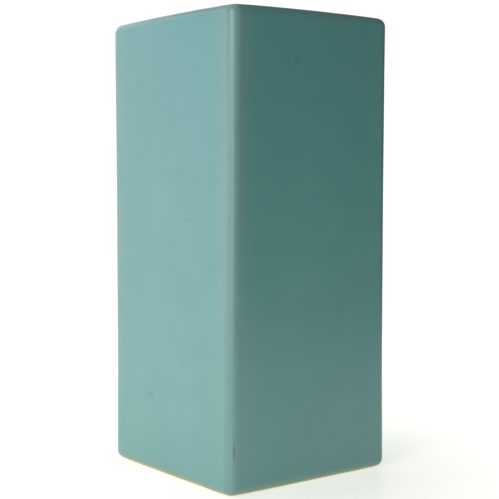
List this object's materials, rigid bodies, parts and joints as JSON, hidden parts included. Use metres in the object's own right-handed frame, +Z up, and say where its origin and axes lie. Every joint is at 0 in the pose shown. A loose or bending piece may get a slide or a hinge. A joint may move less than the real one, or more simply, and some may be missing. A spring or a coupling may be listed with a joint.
{
  "type": "square pillar vase",
  "caption": "Tall square glazed ceramic vase with rounded edges, a deep open well for stems or floral foam, and a bare clay foot ring round a glazed recess.",
  "frame": {"origin": "centre of the foot, on the plane that the vase stands on", "axes": "+Z up along the vase's height; +X and +Y are square to two adjacent sides"},
  "size_m": [0.11, 0.11, 0.25],
  "materials": {
    "bare_clay": "fired buff stoneware, unglazed and lightly sponged",
    "satin_glaze": "opaque teal glaze, satin",
    "liner_glaze": "the same teal glaze, poured as a liner and a little glossier",
    "underside_glaze": "the same teal glaze, brushed thin"
  },
  "bodies": {
    "root": {"clay_body": "bare_clay", "outer_glaze": "satin_glaze", "inner_glaze": "liner_glaze", "underside_glaze": "underside_glaze"}
  },
  "joints": []
}
